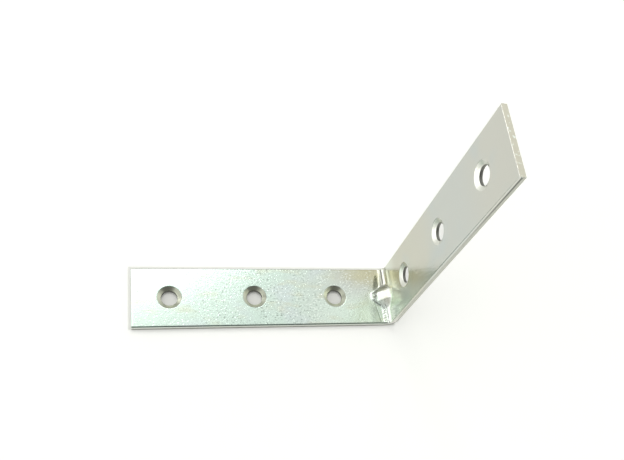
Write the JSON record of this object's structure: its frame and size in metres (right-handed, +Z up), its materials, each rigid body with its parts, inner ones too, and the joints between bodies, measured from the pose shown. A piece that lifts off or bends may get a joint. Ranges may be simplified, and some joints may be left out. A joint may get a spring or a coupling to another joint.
{
  "type": "angle bracket",
  "caption": "Zinc-plated steel angle bracket: a flat strip bent to a right angle, with countersunk screw holes in both legs and a short stiffening rib pressed into the bend.",
  "frame": {"origin": "middle of the footprint, on the underside of the base leg", "axes": "+Z up, +X from the free end of the base leg towards the upright leg, Y across the strip"},
  "size_m": [0.1, 0.0234, 0.1],
  "materials": {
    "zinc_plate": "bright zinc plate"
  },
  "bodies": {
    "root": {"bracket": "zinc_plate"}
  },
  "joints": []
}
